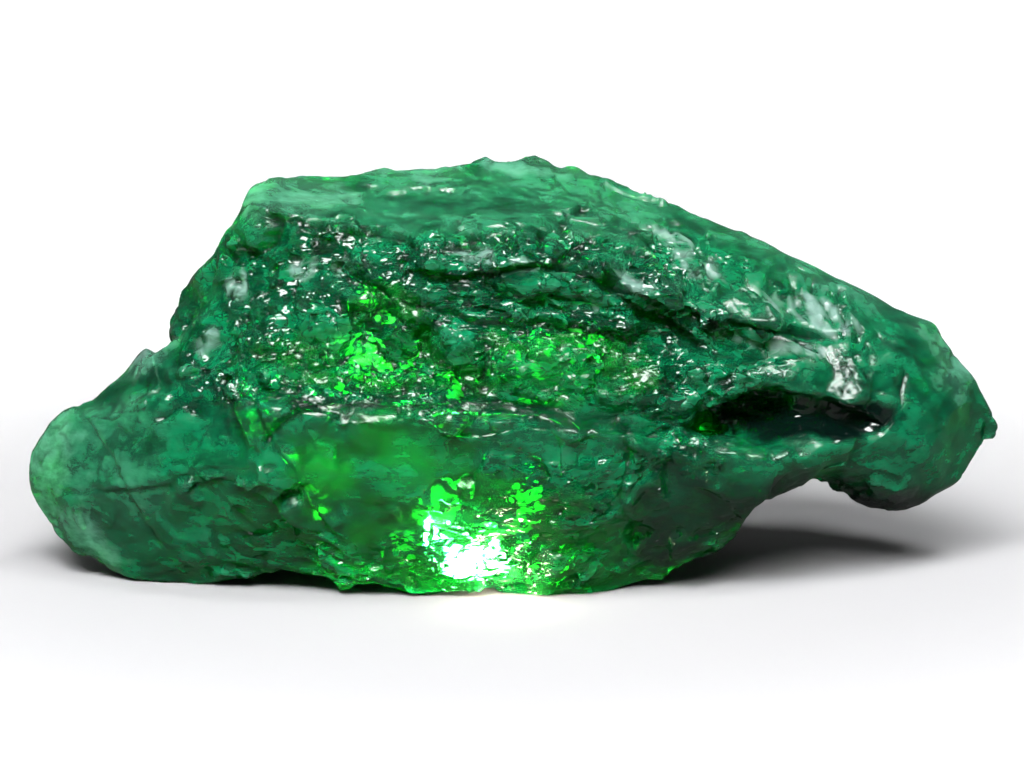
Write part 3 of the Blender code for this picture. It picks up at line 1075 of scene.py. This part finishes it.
    def matt(self, wire: Wiring, marks: dict[Mark, Socket]) -> Socket:
        """How rough the beryl is: glassy where it broke, duller where it cleaved and in its crevices.

        Args:
            wire: The material's wiring.
            marks: What is stored on the skin.

        Returns:
            The socket with the roughness.
        """
        matt = wire.times(marks[Mark.SMOOTH], wire.math("SUBTRACT", 1.0, marks[Mark.DARK]))
        matt = wire.most(matt, wire.times(marks[Mark.CLEAR], 0.7))
        matt = wire.most(matt, wire.ramp(marks[Mark.CREVICE], 0.1, 0.6))
        return wire.ramp(matt, 0.0, 1.0, self.glossy, self.roughness)

    def bump(self, wire: Wiring, bedded: Socket, lean: Socket, rough: Socket) -> Socket:
        """The fine relief: leaning facets over a low swell, both weaker where the beryl is smooth.

        Args:
            wire: The material's wiring.
            bedded: The place along the bedding.
            lean: The facets' height.
            rough: 1 where the beryl broke and 0 where it is smooth.

        Returns:
            The socket with the normal.
        """
        leaning = wire.times(lean, wire.ramp(rough, 0.0, 1.0, *self.facet_lean))
        swell = wire.noise(bedded, self.swell_pitch, 2.0, 0.45).outputs["Fac"]
        swelling = wire.times(swell, wire.ramp(rough, 0.0, 1.0, *self.swell))
        height = wire.math("ADD", leaning, swelling)
        return wire.node("Bump", {"Distance": self.relief * MM, "Height": height}).outputs[0]


class Glow(Enum):
    """The colours of the light in and under the crystal."""

    TORCH = (1.0, 0.85, 0.50)
    SPILL = (1.0, 0.92, 0.66)
    LEAF = (0.20, 1.0, 0.07)
    FOG = (0.10, 1.0, 0.25)


@dataclass(frozen=True)
class Light:
    """A light that the camera doesn't see, with its place in millimetres and its power in watts."""

    name: str
    place: Triple
    power: float

    def hung(self, kind: str) -> bpy.types.Object:
        """Makes the light and hangs it in its place.

        Args:
            kind: POINT or AREA.

        Returns:
            The light, for the rest of its settings.
        """
        data = bpy.data.lights.new(self.name, kind)
        data.energy = self.power
        made = bpy.data.objects.new(self.name, data)
        made.location = Vector(self.place) * MM
        made.visible_camera = False
        bpy.context.scene.collection.objects.link(made)
        return made


@dataclass(frozen=True)
class SoftBox(Light):
    """A large square studio light that points at the crystal."""

    side: float
    glossy: bool = True
    aim: Triple = (0, 0, 20)

    def build(self) -> None:
        """Makes the light."""
        made = self.hung("AREA")
        made.data.shape = "SQUARE"
        made.data.size = self.side * MM
        made.rotation_euler = (Vector(self.aim) - Vector(self.place)).to_track_quat("-Z", "Y").to_euler()
        made.visible_glossy = self.glossy


@dataclass(frozen=True)
class Lamp(Light):
    """A round lamp, or a cluster of them."""

    radius: float
    glow: Glow
    count: int = 0
    spread: Triple = (0.0, 0.0, 0.0)
    seed: int = 1
    seen: bool = True
    sizes: Pair = (0.4, 1.3)
    powers: Pair = (0.3, 1.8)

    def build(self) -> None:
        """Makes the lamp, or many small unlike ones strewn round the place and none at the place itself."""
        if self.count:
            dice = np.random.default_rng(self.seed)
            for index in range(self.count):
                place = self.place + dice.normal(size=3) * self.spread
                radius = self.radius * dice.uniform(*self.sizes)
                power = self.power * (radius / self.radius) ** 2 * dice.uniform(*self.powers)
                Lamp(f"{self.name}_{index}", tuple(place), power, radius, self.glow).build()
            return
        made = self.hung("POINT")
        made.data.color = self.glow.value
        made.data.shadow_soft_size = self.radius * MM
        made.visible_transmission = self.seen


LIGHTS = (
    SoftBox("key", (20, -360, 390), 2.6, 240, glossy=False),
    SoftBox("window", (-130, -320, 400), 2.5, 190),
    SoftBox("skylight", (180, -130, 480), 1.1, 130),
    Lamp("torch", (-5.2, -8.5, 4.6), 0.07, 1.5, Glow.TORCH, 4, (1.6, 0.8, 1.3), 3),
    Lamp("torch_upper", (-8.5, -11, 8.3), 0.011, 0.7, Glow.TORCH, 3, (0.8, 0.5, 0.9), 4),
    Lamp("torch_fog", (-5, -8, 7), 0.11, 2.0, Glow.FOG, seen=False),
    Lamp("torch_spill", (-1, -15.5, 1.6), 0.004, 1.0, Glow.SPILL),
    Lamp("glow_core", (-3.5, -8, 10), 0.0008, 1.2, Glow.LEAF, 12, (5, 2, 3), 5),
    Lamp("glow_alcove", (-17.5, -9.5, 26.2), 0.00018, 0.8, Glow.LEAF, 12, (5.2, 1.3, 1.2), 6),
    Lamp("glow_upper", (-14.5, -9, 32), 0.00006, 0.45, Glow.LEAF, 6, (1.8, 1, 1.1), 7),
    Lamp("glow_middle", (3.5, -8, 25.5), 0.00014, 0.9, Glow.LEAF, 7, (6, 1.5, 1.8), 8),
    Lamp("glow_left", (-20.5, -12, 16.0), 0.00005, 0.4, Glow.LEAF, 6, (1.8, 1, 3.6), 9),
    Lamp("fog_left", (-20, -12, 15), 0.045, 2.0, Glow.FOG, seen=False),
    Lamp("fog_alcove", (-18, -9, 27), 0.05, 2.0, Glow.FOG, seen=False),
    Lamp("fog_middle", (3, -9, 26), 0.03, 2.0, Glow.FOG, seen=False),
    Lamp("fog_front", (-12, -11, 16), 0.04, 2.0, Glow.FOG, seen=False),
)


@dataclass(frozen=True)
class Floor:
    """The pale floor, which shines a little past the crystal's shadow, for the camera alone."""

    side: float = 3.0
    pale: Triple = (0.50, 0.50, 0.51)
    dim: Triple = (0.12, 0.12, 0.12)
    near: Pair = (0.04, 0.16)
    near_shine: float = 0.6
    far: Pair = (0.16, 0.6)
    far_shine: float = 0.5

    def material(self) -> bpy.types.Material:
        """Builds the floor's finish."""
        made = bpy.data.materials.new("pale_floor")
        made.use_nodes = True
        wire = Wiring(made.node_tree)
        seen = wire.node("LightPath").outputs["Is Camera Ray"]
        matt = wire.node("BsdfDiffuse", {"Color": wire.mix(seen, self.dim, self.pale)}).outputs[0]
        place = wire.node("TexCoord").outputs["Object"]
        distance = wire.node("VectorMath", {0: place}, operation="LENGTH").outputs["Value"]
        near = wire.ramp(distance, *self.near, 0.0, self.near_shine)
        far = wire.math("ADD", near, wire.ramp(distance, *self.far, 0.0, self.far_shine))
        shine = wire.node("Emission", {"Strength": wire.times(far, seen)}).outputs[0]
        both = wire.node("AddShader", {0: matt, 1: shine}).outputs[0]
        wire.feed(made.node_tree.nodes["Material Output"], {"Surface": both})
        return made

    def build(self) -> None:
        """Lays the floor."""
        mesh = bpy.data.meshes.new("floor")
        side = self.side
        corners = [(-side, -side, 0), (side, -side, 0), (side, side, 0), (-side, side, 0)]
        mesh.from_pydata(corners, [], [(0, 1, 2, 3)])
        made = bpy.data.objects.new("floor", mesh)
        bpy.context.scene.collection.objects.link(made)
        mesh.materials.append(self.material())


@dataclass(frozen=True)
class Room:
    """The room's light: bright behind the crystal, dim where the camera stands, white to the camera."""

    front: float = -0.6
    back: float = 0.5
    dim: float = 0.015
    bright: float = 0.09
    white: float = 1.1

    def build(self) -> None:
        """Lights the room."""
        world = bpy.data.worlds.new("studio")
        bpy.context.scene.world = world
        world.use_nodes = True
        wire = Wiring(world.node_tree)
        place = wire.node("TexCoord").outputs["Generated"]
        depth = wire.node("SeparateXYZ", {0: place}).outputs["Y"]
        given = {"Value": depth, "From Min": self.front, "From Max": self.back}
        room = wire.node("MapRange", given | {"To Min": self.dim, "To Max": self.bright}).outputs[0]
        seen = wire.node("LightPath").outputs["Is Camera Ray"]
        pick = wire.node("Mix", {0: seen, 2: room, 3: self.white}).outputs[0]
        wire.feed(world.node_tree.nodes["Background"], {"Strength": pick, "Color": (1.0, 1.0, 1.0)})


@dataclass(frozen=True)
class Camera:
    """The camera and how light is followed to it, with its target and distance in millimetres."""

    target: Triple = (-0.16, -0.65, 21.7)
    distance: float = 421.4
    elevation: float = 12.0
    lens: float = 131.2

    def build(self) -> None:
        """Sets the camera."""
        data = bpy.data.cameras.new("camera")
        data.lens = self.lens
        made = bpy.data.objects.new("camera", data)
        tilt = math.radians(self.elevation)
        back = Vector((0, -math.cos(tilt), math.sin(tilt)))
        made.location = (Vector(self.target) + back * self.distance) * MM
        made.rotation_euler = (-back).to_track_quat("-Z", "Y").to_euler()
        scene = bpy.context.scene
        scene.collection.objects.link(made)
        scene.camera = made
        scene.view_settings.view_transform = "Standard"
        scene.cycles.caustics_refractive = False
        scene.cycles.use_light_tree = False
        for kind, count in (("max", 5), ("diffuse", 2), ("glossy", 2), ("transmission", 4)):
            setattr(scene.cycles, f"{kind}_bounces", count)


def main() -> None:
    """Builds the crystal and its studio, and reports on each piece."""
    logging.basicConfig(level=logging.INFO)
    crystal = CrystalSkin().build()
    crystal.data.materials.clear()
    crystal.data.materials.append(Beryl().material())
    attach(crystal, "root")
    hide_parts(NODE)
    Floor().build()
    Room().build()
    for light in LIGHTS:
        light.build()
    Camera().build()
    log.info("studio: floor, room, %d lights and camera", len(bpy.data.lights))


if __name__ == "__main__":
    main()
